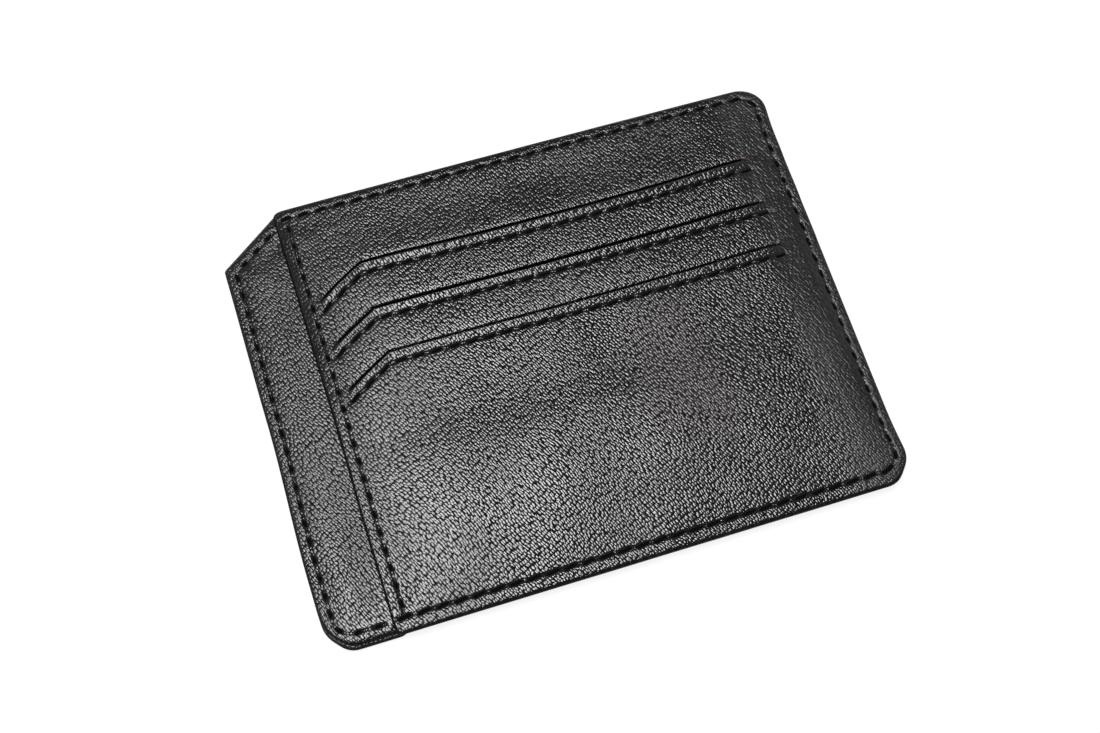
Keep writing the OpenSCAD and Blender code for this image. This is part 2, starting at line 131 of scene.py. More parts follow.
def fillet(p, v, q, steps):
    """Points of the rounded corner at v between the sides from p and to q."""
    a = np.array([v[0] - p[0], v[1] - p[1]])
    b = np.array([q[0] - v[0], q[1] - v[1]])
    a, b = a / np.linalg.norm(a), b / np.linalg.norm(b)
    turn = math.atan2(a[0] * b[1] - a[1] * b[0], a @ b)
    centre = np.array(v[:2]) - a * v[2] * math.tan(turn / 2) + np.array([-a[1], a[0]]) * v[2]
    start = math.atan2(-a[0], a[1])
    angles = start + turn * np.linspace(0, 1, steps + 1)
    return centre + v[2] * np.stack([np.cos(angles), np.sin(angles)], 1)


CORNER_STEPS, TIP_STEPS, RING_STEP = 14, 4, 0.5
CORNER_MID = CORNER_STEPS // 2


def corner_arcs(d):
    c = outline_corners(d)
    steps = [CORNER_STEPS if i < ROUND_CORNERS else TIP_STEPS for i in range(SIDES)]
    return [fillet(c[i - 1], c[i], c[(i + 1) % SIDES], steps[i]) for i in range(SIDES)]


def side_parts():
    arcs = corner_arcs(0)
    return [int(np.linalg.norm(arcs[(i + 1) % SIDES][0] - arcs[i][-1]) / RING_STEP) for i in range(SIDES)]


SIDE_PARTS = side_parts()


def ring(d):
    """Closed ring of points of the outline drawn in by d. Every ring has as many points."""
    arcs = corner_arcs(d)
    points = []
    for i, parts in enumerate(SIDE_PARTS):
        t = np.linspace(0, 1, parts + 1)[1:-1, None]
        points += [arcs[i], mix(arcs[i][-1], arcs[(i + 1) % SIDES][0], t)]
    return np.concatenate(points)


def ramp(x):
    """How far the slanted end of a slit has fallen at x."""
    return SLOT_DROP * np.clip((BEND_X - x) / (BEND_X - SLOT_X0), 0, 1)


ROW_ARCS = corner_arcs(SEAM_INSET)
ROW_LOW = SEAM_INSET - HALF_H
# Rows end this far from the fold, and the row of the fold this far from the rows it meets
ROW_END, FOLD_ROW_END = 0.5, 0.7


def margin_path():
    start = ROW_ARCS[4][0]
    along = ROW_ARCS[3][-1] - start
    top = start + along * (FOLD_X - ROW_END - start[0]) / along[0]
    return np.concatenate([[top], ROW_ARCS[4], ROW_ARCS[0], [[FOLD_X - ROW_END, ROW_LOW]]])


def slot_paths(k):
    xs = ((SLOT_X0 - STITCH_HOLE, BEND_X), (BEND_X, SLOT_X1 + STITCH_HOLE))
    return [np.array([(x, SLOT_Y[k] - ramp(x) - SLOT_SEAM) for x in pair]) for pair in xs]


# A pit ends over DASH_FADE. The leather beside a row sinks too, between two stitches by SINK_LEAST of sink
DASH_FADE, PIT_POWER, BRIDGE_W, SINK_W, SINK_LEAST = 0.5, 1.5, 0.3, 0.8, 0.4


class Row:
    """A row of stitches along a path.

    dash is the length of a stitch that shows, wide the half width of its pit and deep its depth,
    bridge the depth of the groove between two stitches, and sink how far the leather beside them sinks.
    """

    def __init__(self, path, dash, wide=0.5, deep=0.6, bridge=0.10, sink=0.08):
        self.path, self.dash, self.wide, self.deep, self.bridge, self.sink = path, dash, wide, deep, bridge, sink
        self.lengths = np.linalg.norm(np.diff(path, axis=0), axis=1)
        self.along = np.concatenate([[0], np.cumsum(self.lengths)])
        self.count = round(self.along[-1] / STITCH_PITCH)
        self.step = self.along[-1] / self.count

    def at(self, s):
        return np.stack([np.interp(s, self.along, self.path[:, i]) for i in (0, 1)], -1)

    def near(self, x, y):
        """Distance to the row, its side, and length along it, of each point."""
        best, length, side = np.full(np.shape(x), 1e9), np.zeros(np.shape(x)), np.ones(np.shape(x))
        for p, q, start, long in zip(self.path, self.path[1:], self.along, self.lengths):
            if long < TINY:
                continue
            d = (q - p) / long
            t = np.clip((x - p[0]) * d[0] + (y - p[1]) * d[1], 0, long)
            a, b = x - p[0] - d[0] * t, y - p[1] - d[1] * t
            far = np.hypot(a, b)
            closer = far < best
            best, length = np.where(closer, far, best), np.where(closer, start + t, length)
            side = np.where(closer, np.sign(d[0] * b - d[1] * a), side)
        return best, side, length

    def dip(self, x, y):
        """How far the stitches pull the leather down at each point."""
        far, side, s = self.near(x, y)
        along = s % self.step - self.step / 2
        shows = smooth((self.dash / 2 + DASH_FADE / 2 - np.abs(along)) / DASH_FADE)
        far = np.abs(far * side - STITCH_SLANT * along * shows)
        pit = mix(self.bridge * bell(far, BRIDGE_W), self.deep * bell(far / self.wide, 1) ** PIT_POWER, shows)
        return self.sink * (SINK_LEAST + shows) * bell(far, SINK_W) + pit


SHORT_STITCH = dict(dash=1.05, wide=0.34, deep=0.65, bridge=0.14)
SLOT_STITCH = dict(dash=2.2, wide=0.3, deep=0.42, bridge=0.12, sink=0.04)
BACK_DASH = 2.5
fold_half = HALF_H - SEAM_INSET - FOLD_ROW_END
bottom_path = np.concatenate([[[FOLD_X + ROW_END, ROW_LOW]], ROW_ARCS[1][:CORNER_MID + 1]])
right_path = np.concatenate([ROW_ARCS[1][CORNER_MID:], ROW_ARCS[2][:1]])
top_path = np.concatenate([ROW_ARCS[2], [[FOLD_X + ROW_END, ROW_ARCS[3][0][1]]]])
fold_path = np.array([(FOLD_X + FOLD_INSET, -fold_half), (FOLD_X + FOLD_INSET, fold_half)])
bottom_row = Row(bottom_path, dash=2.4, wide=0.32)
right_row = Row(right_path, dash=1.4, wide=0.32)
top_row = Row(top_path, dash=2.0, wide=0.3, deep=0.45)
margin_row = Row(margin_path(), **SHORT_STITCH)
fold_row = Row(fold_path, **SHORT_STITCH)
slot_rows = [[Row(p, **SLOT_STITCH) for p in slot_paths(k)] for k in range(3)]
panel_rows = [bottom_row, right_row, top_row, fold_row] + [r for pair in slot_rows for r in pair]
back_seam = [Row(r.path, dash=BACK_DASH) for r in (bottom_row, right_row, margin_row)]
back_hem = [Row(top_row.path, dash=BACK_DASH)]


# Heights of the layers

def pillow(d):
    return rise(d, SLOPE_START, TURN_IN_W - SLOPE_START)


# The front half lifts from this far below the top edge, over MOUTH_W
MOUTH_REACH, MOUTH_W = 16, 12


def mouth(x, y):
    """Lift of the front half at the cash pocket's mouth."""
    half = (BODY_W - STRIP_W) / 2
    across = (x - FOLD_X - half) / half
    return MOUTH_GAP * np.maximum(0, 1 - across**2) * rise(y - HALF_H, -MOUTH_REACH, MOUTH_W)


def front_lift(x, y, d):
    return mix(mouth(x, y), FRONT_RISE, pillow(d))


def back_lift(d):
    return BACK_BELLY * (1 - pillow(d))


WAVE_COUNT, WAVE_SPREAD, WAVE_SUM, WAVE_H = 6, (0.7, 1.5), 3.5, 0.04


def waves(x, y, size, seed):
    """Soft unevenness of the leather, about -1 to 1, with waves about size long."""
    draw = np.random.default_rng(seed)
    total = 0
    for _ in range(WAVE_COUNT):
        a, phase = draw.uniform(0, math.tau), draw.uniform(0, math.tau)
        k = draw.uniform(*WAVE_SPREAD) * math.tau / size
        total = total + np.sin(k * (x * math.cos(a) + y * math.sin(a)) + phase)
    return total / WAVE_SUM


def front_waves(x, y):
    return WAVE_H * waves(x, y, size=24, seed=3)


def edge_distance(x, y):
    """Distance from a point of the slotted panel to the outline."""
    a, b = HALF_W - x, HALF_H - np.abs(y)
    corner = CORNER_R - np.hypot(CORNER_R - a, CORNER_R - b)
    return np.where((a < CORNER_R) & (b < CORNER_R), corner, np.minimum(a, b))


def base_top(x, y):
    return BASE_Z + EDGE_T + front_lift(x, y, edge_distance(x, y))


# Leather over the pockets comes down beside the fold row and beside the seam, over these widths
DRAPE_X0, DRAPE_X1 = FOLD_X + FOLD_INSET + 0.5, HALF_W - SEAM_INSET - 0.5
DRAPE_W0, DRAPE_W1 = 9, 7.5
# Widths over which a slit closes at its ends, and over which the step at a slit spreads past them
SLIT_END_W, SLIT_STEP_W = 1.2, 3.0


def drape(x):
    """Share by which leather over the pockets stands up, coming down at the stitch rows beside them."""
    return rise(x, DRAPE_X0, DRAPE_W0) * rise(-x, -DRAPE_X1, DRAPE_W1)


def slit_open(x):
    """One along a slit, and zero past its ends, where the leather is whole."""
    return rise(x, SLOT_X0, SLIT_END_W) * rise(-x, -SLOT_X1, SLIT_END_W)


def below_slit(k, x, v):
    """One below slit k and zero above it: a step along the slit and a slope past its ends."""
    step = (v < SLOT_Y[k]).astype(float)
    return mix(rise(-v, -SLOT_Y[k] - SLIT_STEP_W / 2, SLIT_STEP_W), step, slit_open(x))


# Where a pocket bag thickens, from below its fold and from the edge, and where its flap thins out
FOOT_BELOW, FOOT_W, STACK_INSET, STACK_W, FLAP_OVER, FLAP_W = 6, 14, 1.5, 3, 3, 7


def stack(n, x, y, v):
    """Height of the first n pocket bags, lying nearly empty, at each point."""
    total = 0
    walls = 2 * (LINING_T + PLY_GAP)
    for k in range(n):
        foot = rise(y, BAG_Y[k] - FOOT_BELOW, FOOT_W) * rise(edge_distance(x, y), STACK_INSET, STACK_W)
        flap = rise(-v, -SLOT_Y[k] - FLAP - FLAP_OVER, FLAP_W)
        below = below_slit(k, x, v)
        total = total + below * foot * (walls + EMPTY_GAP * drape(x)) + (1 - below) * flap * walls / 2
    return total


# Below a slit the leather stands up by BAND_RISE and falls over BAND_REACH, and its lip puffs by LIP_PUFF
LIP_PUFF, BAND_RISE, BAND_REACH = 0.28, (0.56, 0.32, 0.45), (SLOT_PITCH, SLOT_PITCH, 15)
LIP_PAST, LIP_END_W = 0.5, 5
# Both lips curl down at the slit, and the upper one also dips towards it
CURL, CURL_W, UPPER_DIP, UPPER_DIP_W = 0.10, 0.35, 0.12, 1.6


def lips(x, v):
    """Leather stands up below a slit and falls towards the next; it puffs between the slit and its stitch row."""
    total = 0
    ends = rise(x, SLOT_X0 - LIP_PAST, LIP_END_W) * rise(-x, -SLOT_X1 - LIP_PAST, LIP_END_W)
    for k in range(3):
        t = SLOT_Y[k] - v
        band = BAND_RISE[k] * np.clip(1 - t / BAND_REACH[k], 0, 1) * (t > 0)
        puffed = LIP_PUFF * np.clip(1 - t / SLOT_SEAM, 0, 1) * (t > 0)
        curl = CURL * smooth((CURL_W - np.abs(t)) / CURL_W) + UPPER_DIP * (t < 0) * rise(t, -UPPER_DIP_W, UPPER_DIP_W)
        total = total + ends * band + slit_open(x) * (puffed - curl)
    return total


# The belly of the front: its middle, half width and least height, and its share beside the slits
BELLY_X, BELLY_HALF, BELLY_LEAST, BELLY_UPPER = -8, 56, 0.15, 0.5
BELLY_TOP_Y, BELLY_FULL_Y, BELLY_FADE = 34, -2, 20
# Inset and width of the slope on each side of the belly
PUFF_BOTTOM, PUFF_TOP, PUFF_LEFT, PUFF_RIGHT = (2, 19), (2.6, 6), (FOLD_INSET + 0.2, 15), (2.5, 9)


def puff(x, y):
    """Fullness of the front over what lies in it, fullest left of the middle and below the slits."""
    upper = BELLY_UPPER * rise(-y, -BELLY_TOP_Y, BELLY_FADE)
    across = np.maximum(0, 1 - ((x - BELLY_X) / BELLY_HALF) ** 2)
    belly = across * mix(upper, 1, rise(-y, -BELLY_FULL_Y, BELLY_FADE))
    sides = rise(x - FOLD_X, *PUFF_LEFT) * rise(HALF_W - x, *PUFF_RIGHT)
    ends = rise(y + HALF_H, *PUFF_BOTTOM) * rise(HALF_H - y, *PUFF_TOP)
    return mix(BELLY_LEAST, 1, belly) * sides * ends


def panel_inset(x, y):
    """Distance from a point of the slotted panel to its own edge, the folded one included."""
    a, b = x - FOLD_X, HALF_H - np.abs(y)
    corner = FOLD_R - np.hypot(FOLD_R - a, FOLD_R - b)
    folded = np.where((a < FOLD_R) & (b < FOLD_R), corner, np.minimum(a, b))
    return np.minimum(edge_distance(x, y), folded)


def panel_thick(x, y):
    return mix(EDGE_T, LEATHER_T, np.clip(panel_inset(x, y) / TURN_IN_W, 0, 1))


def panel_under(x, y, v):
    return base_top(x, y) + PLY_GAP + stack(3, x, y, v) + puff(x, y) + lips(x, v)


def nose(d):
    """Half height of a turned edge, as a share of its half thickness, at d from the edge."""
    return np.sqrt(np.maximum(0, 1 - (1 - np.clip(d / NOSE_W, 0, 1)) ** 2))


def roll(d):
    """Share by which a turned edge has come down at d from the edge."""
    return np.clip(1 - d / ROLL_W, 0, 1) ** ROLL_POWER


def panel_surface(x, y, v, side):
    """Upper or lower surface of the slotted panel, without its stitches."""
    half, n = panel_thick(x, y) / 2, nose(panel_inset(x, y))
    fold = mix(*FOLD_ROLL, rise(y, -12, 30)) * np.clip(1 - (x - FOLD_X) / ROLL_W, 0, 1)
    return panel_under(x, y, v) + half + side * half * n - FRONT_ROLL * roll(edge_distance(x, y)) - fold


def panel_height(x, y):
    return panel_surface(x, y, y + ramp(x), 1) + front_waves(x, y)


# Meshes

# Shifts of settled(): the left edge, squarer right corners (y, shift), the bottom, the tip of the cut, the slits
LEFT_IN, LEFT_OUT = 0.2, 0.8
SQUARE_CORNERS, SQUARE_W = ((42.0, 0.65), (-40.0, 0.5)), 6.0
BOTTOM_OUT, BOTTOM_IN, TIP_UP = 0.45, 0.3, 0.5
SLITS_UP, TOP_SLIT_MORE, SLITS_RIGHT = 0.42, 0.4, 0.8


def settled(points):
    """Shifts of less than 1 mm by which handwork strays from the drawn shape.

    The left edge is fuller low down, the right corners are squarer, the seam at the bottom is drawn
    in, the tip of the cut stands higher, and so do the ends of the slits.
    """
    x, y, z = np.asarray(points, float).T
    dx = rise(-x, 36, 20) * (LEFT_IN * rise(y, 5, 28) - LEFT_OUT * rise(-y, -2, 30))
    for corner_y, reach in SQUARE_CORNERS:
        dx = dx + reach * bell(np.hypot(x - HALF_W, y - corner_y), SQUARE_W)
    bottom = mix(-BOTTOM_OUT, BOTTOM_IN, rise(y, -HALF_H, 2)) * rise(-y, 26, 14)
    tip = TIP_UP * np.clip((FOLD_X - x) / STRIP_W, 0, 1) * rise(y, 22, 9)
    up = (SLITS_UP + TOP_SLIT_MORE * rise(y, 16, 10)) * rise(y, -4, 10) * rise(-y, -41, 10)
    left, right = bell(x + 32, 22) * rise(x, FOLD_X, 9), bell(x - 46, 14) * rise(-x, -54, 6)
    return np.column_stack([x + dx, y + bottom + tip + up * (left + SLITS_RIGHT * right), z])


def make_mesh(name, points, faces, materials, face_slots=None, sharp=50):
    """A piece from points in millimetres and faces, riding on the part's body."""
    mesh = bpy.data.meshes.new(name)
    mesh.from_pydata((settled(points) * MM).tolist(), [], [list(map(int, f)) for f in faces])
    mesh.validate()
    for m in materials:
        mesh.materials.append(m)
    if face_slots is not None:
        mesh.polygons.foreach_set("material_index", np.asarray(face_slots, np.int32))
    mesh.polygons.foreach_set("use_smooth", np.ones(len(mesh.polygons), bool))
    mesh.set_sharp_from_angle(angle=math.radians(sharp))
    obj = bpy.data.objects.new(name, mesh)
    bpy.context.scene.collection.objects.link(obj)
    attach(obj, "root")
    return obj


def loft_faces(rings, count):
    """Quads between rings of count points, ring by ring, then a fan on each of two last points."""
    i = np.arange(count)
    j = (i + 1) % count
    faces = []
    for r in range(rings - 1):
        a = r * count
        faces.append(np.stack([a + i, a + j, a + count + j, a + count + i], 1))
    faces = [list(f) for f in np.concatenate(faces)]
    first, last = rings * count, rings * count + 1
    top = (rings - 1) * count
    faces += [[first, b, a] for a, b in zip(i, j)]
    faces += [[last, top + a, top + b] for a, b in zip(i, j)]
    return faces


def shrunk(points, t):
    middle = (points.max(0) + points.min(0)) / 2
    return mix(middle, points, t)


# Rings of a half: at its inner side, round its edge, and at its outer side, each by inset, then shrunk to the middle
INNER_INSETS = (TURN_IN_W, 6.5, 5, 4, 3, 2, 1)
NOSE_ANGLES = np.linspace(0, 90, 13)[1:]
NOSE_INSETS = NOSE_W * (1 - np.cos(np.radians(NOSE_ANGLES)))
BORDER_INSETS = np.concatenate([np.arange(0.8, 2.9, 0.1), np.arange(2.9, TURN_IN_W, 0.42), [TURN_IN_W]])
FIELD_SHARES = (0.86, 0.7, 0.5, 0.3, 0.12)
PAST_TURN_IN = TURN_IN_W + 1
# The edge is dull except for this many rings on either side
SIDE_RINGS = 6


def tucked(d, margin_share):
    """Ring at inset d of a half, drawn in under the slotted panel, and by a share along the margin's bottom."""
    out, tuck = ring(d), ring(d + TUCK * smooth((TUCK_W - d) / TUCK_W))
    share = np.maximum(rise(out[:, 0], FOLD_X, 3), margin_share * rise(-out[:, 1], 34, 7))
    return mix(out, tuck, share[:, None])


def leather_half(name, outer, inner, materials, sewn, margin_share):
    """A turned leather panel. outer and inner give its heights at (x, y, inset), sewn its rows of stitches."""
    def surface(p, height, d):
        return np.column_stack([p, height(p[:, 0], p[:, 1], d)])

    def edge(d, side):
        p = tucked(d, margin_share)
        low, high = inner(p[:, 0], p[:, 1], d), outer(p[:, 0], p[:, 1], d)
        return np.column_stack([p, (low + high) / 2 + side * (high - low) / 2 * nose(d)])

    flat = ring(TURN_IN_W)
    inside = [surface(shrunk(flat, share), inner, PAST_TURN_IN) for share in reversed(FIELD_SHARES)]
    inside += [surface(tucked(d, margin_share), inner, d) for d in INNER_INSETS]
    turned = [edge(d, -1) for d in reversed(NOSE_INSETS)] + [edge(0.0, 1)] + [edge(d, 1) for d in NOSE_INSETS]
    outside = [surface(tucked(d, margin_share), outer, d) for d in BORDER_INSETS]
    outside += [surface(shrunk(flat, share), outer, PAST_TURN_IN) for share in FIELD_SHARES]
    rings = inside + turned + outside
    count = len(flat)
    faces = loft_faces(len(rings), count)
    if rings[-1][0, 2] < rings[0][0, 2]:
        faces = [f[::-1] for f in faces]
    points = np.concatenate(rings + [[rings[0].mean(0), rings[-1].mean(0)]])
    middles = np.array([points[list(f), :2].mean(0) for f in faces]).T
    pits = sum(row.dip(*middles) for row in sewn) > PIT
    first, last = len(inside) + SIDE_RINGS, len(inside) + len(turned) - SIDE_RINGS
    slots = [int(first <= i // count < last or pit) for i, pit in enumerate(pits)]
    return make_mesh(name, points, faces, materials, slots)


SCAN_STEP, SCAN_LEAST = 0.02, 40


def spaced_lines(stops, features, fine, coarse, growth=0.22):
    """Grid lines through every stop, close together near the features, each (place, reach)."""
    lines = [stops[0]]
    for a, b in zip(stops, stops[1:]):
        t = np.linspace(a, b, max(SCAN_LEAST, int((b - a) / SCAN_STEP)))
        far = np.min([np.maximum(np.abs(t - f) - reach, 0) for f, reach in features], 0)
        spacing = np.minimum(fine + growth * far, coarse)
        total = np.concatenate([[0], np.cumsum(np.diff(t) / (spacing[:-1] + spacing[1:]) * 2)])
        parts = max(1, round(total[-1]))
        lines += list(np.interp(np.linspace(0, total[-1], parts + 1)[1:], total, t))
    return np.array(lines)


FINE, COARSE = 0.14, 0.55
END_INSETS = np.array([0, 0.04, 0.13, 0.28, 0.62, 0.9, 1.1, 1.24])
# Reach of the fine grid beside rows of stitches, at the ends and bends of slits, and beside slits
ROW_ZONE, END_AT, END_ZONE, BEND_ZONE, SLIT_ZONE = 0.6, 0.6, 0.7, 0.2, 0.25
EDGE_INSETS = np.concatenate([[0], NOSE_INSETS])


def panel_columns():
    stops = np.concatenate([
        FOLD_X + EDGE_INSETS, SLOT_X0 + END_INSETS, [BEND_X], SLOT_X1 - END_INSETS, HALF_W - EDGE_INSETS])
    features = [(FOLD_X + FOLD_INSET, ROW_ZONE), (HALF_W - SEAM_INSET, ROW_ZONE), (SLOT_X0 + END_AT, END_ZONE),
                (SLOT_X1 - END_AT, END_ZONE), (BEND_X, BEND_ZONE)]
    return spaced_lines(np.unique(stops.round(5)), features, FINE, COARSE)


def panel_rows_grid():
    """Row lines, with each slit's line twice: first for its lower lip, then for its upper lip."""
    stops = np.unique(np.concatenate([EDGE_INSETS - HALF_H, HALF_H - EDGE_INSETS, SLOT_Y]).round(5))
    features = [(SEAM_INSET - HALF_H, ROW_ZONE), (HALF_H - SEAM_INSET, ROW_ZONE)]
    for y in SLOT_Y:
        features += [(y, SLIT_ZONE), (y - SLOT_SEAM, ROW_ZONE)]
    v, lower = [], []
    for t in spaced_lines(stops, features, FINE, COARSE):
        if any(abs(t - y) < TINY for y in SLOT_Y):
            lower.append(len(v))
            v += [t - TINY, t + TINY]
        else:
            v.append(t)
    return np.array(v), lower


# The slant fades out between the slits and the top corner, and between the lowest row and this height
SLANT_OVER, SLANT_UNDER, SLANT_FOOT_Y = 1.0, 0.8, -14.0


def slant(v):
    """Share of a slit's slant that a row follows: all beside the slits, none at the edges."""
    top, edge = SLOT_Y[0] + SLANT_OVER, HALF_H - CORNER_R
    low, high = SLANT_FOOT_Y, SLOT_Y[2] - SLOT_SEAM - SLANT_UNDER
    return np.where(v > top, np.clip((edge - v) / (edge - top), 0, 1), np.clip((v - low) / (high - low), 0, 1))


def slit_half_width(k, x):
    """Half the width of slit k at x, with the round punched holes at its ends."""
    gap = mix(RAMP_GAPS[k], SLIT_GAPS[k], rise(x, BEND_X - 2, 6)) / 2
    half = np.where((x > SLOT_X0 + HOLE_R) & (x < SLOT_X1 - HOLE_R), gap, 0)
    for centre in (SLOT_X0 + HOLE_R, SLOT_X1 - HOLE_R):
        half = np.maximum(half, np.sqrt(np.maximum(0, HOLE_R**2 - (x - centre) ** 2)))
    return half


def rounded(x, y):
    """Bends the corners of the grid round, each inset line going round as an arc."""
    s = np.sign(y)
    for side, edge, radius in ((1, HALF_W, CORNER_R), (-1, FOLD_X, FOLD_R)):
        cx, cy = edge - side * radius, s * (HALF_H - radius)
        a, b = side * (x - cx), s * (y - cy)
        corner = (a > 0) & (b > 0)
        far = np.maximum(a, b)
        steep = np.where(a > b, 45 * b / np.where(corner, a, 1), 90 - 45 * a / np.where(corner, b, 1))
        angle = np.radians(steep)
        x = np.where(corner, cx + side * far * np.cos(angle), x)
        y = np.where(corner, cy + s * far * np.sin(angle), y)
    return x, y


# A slit pushes the leather beside it away over this width. Under a stitch the panel stays this thick
SLIT_PUSH_W, LEAST_T = 1.4, 0.1


def slotted_panel(name, materials):
    """The front panel: a grid cut open along the slits. materials are for its face, its dull parts and its cuts."""
    xs, (vs, lower) = panel_columns(), panel_rows_grid()
    n, m = len(xs), len(vs)
    x, v = np.meshgrid(xs, vs, indexing="ij")
    y = v - ramp(x) * slant(v)
    for k, height in enumerate(SLOT_Y):
        t = v - height
        y = y + np.sign(t) * slit_half_width(k, x) * np.clip(1 - np.abs(t) / SLIT_PUSH_W, 0, 1) ** 2
    x, y = rounded(x, y)
    top = panel_surface(x, y, v, 1) + front_waves(x, y)
    for row in panel_rows:
        top = top - row.dip(x, y)
    under = panel_surface(x, y, v, -1) + front_waves(x, y)
    under = np.minimum(under, top - LEAST_T * nose(panel_inset(x, y)))
    points = np.concatenate([np.stack([x, y, z], -1).reshape(-1, 3) for z in (top, under)])
    index = np.arange(2 * n * m).reshape(2, n, m)
    shut = (xs <= SLOT_X0 + TINY) | (xs >= SLOT_X1 - TINY)
    for j in lower:
        index[:, shut, j] = index[:, shut, j + 1]
    index[1, [0, -1], :] = index[0, [0, -1], :]
    index[1, :, [0, -1]] = index[0, :, [0, -1]]
    keep = np.ones(m - 1, bool)
    keep[lower] = False
    quads, slots = [], []
    for side in (0, 1):
        q = np.stack([index[side, :-1, :-1], index[side, 1:, :-1], index[side, 1:, 1:], index[side, :-1, 1:]], -1)
        q = q[:, keep].reshape(-1, 4)
        quads.append(q if side == 0 else q[:, ::-1])
        place = points[q].mean(1)[:, :2].T
        dull = (panel_inset(*place) < SIDE_W) | (sum(row.dip(*place) for row in panel_rows) > PIT)
        slots += [1] * len(q) if side else list(dull.astype(int))
    open_pairs = np.where(~(shut[:-1] & shut[1:]))[0]
    for j in lower:
        for i in open_pairs:
            a, b = index[:, i, j], index[:, i + 1, j]
            c, d = index[:, i, j + 1], index[:, i + 1, j + 1]
            quads.append(np.array([[a[0], b[0], b[1], a[1]], [d[0], c[0], c[1], d[1]]]))
            slots += [2, 2]
    return make_mesh(name, *used(points, np.concatenate(quads)), materials, slots, sharp=40)


def used(points, faces):
    """Drops the points that no face uses."""
    keep, faces_new = np.unique(faces, return_inverse=True)
    return points[keep], faces_new.reshape(faces.shape)


THREAD_SIDES, THREAD_RINGS, THREAD_TWIST = 9, 15, 2.4
THREAD_PLIES, PLY_RIDGE, THREAD_TIP = 3, 0.16, 0.45
# A stitch goes on past the part that shows, diving into its holes, and stops just short of its row's ends
STITCH_PAST, DIVE, DIVE_AHEAD, DIVE_W, ROW_STOP = 0.45, 0.75, 0.35, 0.8, 0.02


def stitches(name, rows, height, material, up=1):
    """Twisted thread of some rows. height gives the leather's level at a point without its stitches."""
    points, faces = [], []
    angles = np.arange(THREAD_SIDES) / THREAD_SIDES * math.tau
    tips = np.arange(THREAD_RINGS) % (THREAD_RINGS - 1) == 0
    for row in rows:
        for k in range(row.count):
            reach = row.dash / 2 + STITCH_PAST
            u = np.linspace(-reach, reach, THREAD_RINGS)
            p = row.at(np.clip((k + 0.5) * row.step + u, ROW_STOP, row.along[-1] - ROW_STOP))
            tangent = np.gradient(p, axis=0)
            tangent /= np.linalg.norm(tangent, axis=1)[:, None]
            side = np.stack([-tangent[:, 1], tangent[:, 0]], 1)
            p = p + side * STITCH_SLANT * u[:, None]
            sunk = row.sink + row.deep - THREAD_R
            dive = DIVE * rise(np.abs(u), row.dash / 2 - DIVE_AHEAD, DIVE_W)
            z = height(p[:, 0], p[:, 1]) - up * (sunk + dive)
            plies = np.cos(THREAD_PLIES * (angles[None] - THREAD_TWIST * u[:, None]))
            radius = THREAD_R * (1 + PLY_RIDGE * plies) * np.where(tips, THREAD_TIP, 1)[:, None]
            across, lift = radius * np.cos(angles), radius * np.sin(angles)
            start = len(points) * THREAD_RINGS * THREAD_SIDES
            points.append(np.concatenate([
                (p[:, None] + side[:, None] * across[..., None]), (z[:, None] + up * lift)[..., None]], -1))
            i, j = np.meshgrid(np.arange(THREAD_RINGS - 1), np.arange(THREAD_SIDES), indexing="ij")
            a, b = start + i * THREAD_SIDES + j, start + i * THREAD_SIDES + (j + 1) % THREAD_SIDES
            quads = np.stack([a, b, b + THREAD_SIDES, a + THREAD_SIDES], -1).reshape(-1, 4)
            ends = [list(range(start, start + THREAD_SIDES))[::-1]]
            top = start + (THREAD_RINGS - 1) * THREAD_SIDES
            ends.append(list(range(top, top + THREAD_SIDES)))
            group = [list(f) for f in quads] + ends
            faces += [f[::-1] for f in group] if up > 0 else group
    return make_mesh(name, np.concatenate([p.reshape(-1, 3) for p in points]), faces, [material], sharp=80)


# Fabric

LINING_INSETS = (LINING_INSET, 1.7, 2.1, 2.5, 3, 4, 5, 6.5, TURN_IN_W)


def grid_sheet(name, grid, material):
    n, m = grid.shape[:2]
    index = np.arange(n * m).reshape(n, m)
    quads = np.stack([index[:-1, :-1], index[1:, :-1], index[1:, 1:], index[:-1, 1:]], -1).reshape(-1, 4)
    return make_mesh(name, grid.reshape(-1, 3), quads, [material], sharp=80)


def half_lining(name, height, material):
    """Lining of a half: a sheet with the outline's shape, caught in the seam."""
    flat = ring(TURN_IN_W)
    places = [(ring(d), d) for d in LINING_INSETS] + [(shrunk(flat, share), PAST_TURN_IN) for share in FIELD_SHARES]
    rows = [np.column_stack([p, height(p[:, 0], p[:, 1], d)]) for p, d in places]
    count = len(flat)
    i = np.arange(count)
    j = (i + 1) % count
    faces = []
    for r in range(len(rows) - 1):
        faces += [list(f) for f in np.stack([i, j, j + count, i + count], 1) + r * count]
    last = len(rows) * count
    faces += [[last, last - count + a, last - count + b] for a, b in zip(i, j)]
    return make_mesh(name, np.concatenate(rows + [rows[-1].mean(0)[None]]), faces, [material], sharp=80)


BAG_FINE, BAG_COARSE, FLAP_LINES, WALL_LINES = 0.4, 1.6, 7, 46
# Each wall starts this far below the slit and ends this far above the fold, from where the bag opens over BAG_SHUT_W
REAR_BELOW, FRONT_BELOW, FOLD_OVER, BAG_SHUT_W = 0.3, 0.45, 0.12, 4.0
# Share of the front's fullness that a bag's front wall follows
BAG_PUFF = 0.35


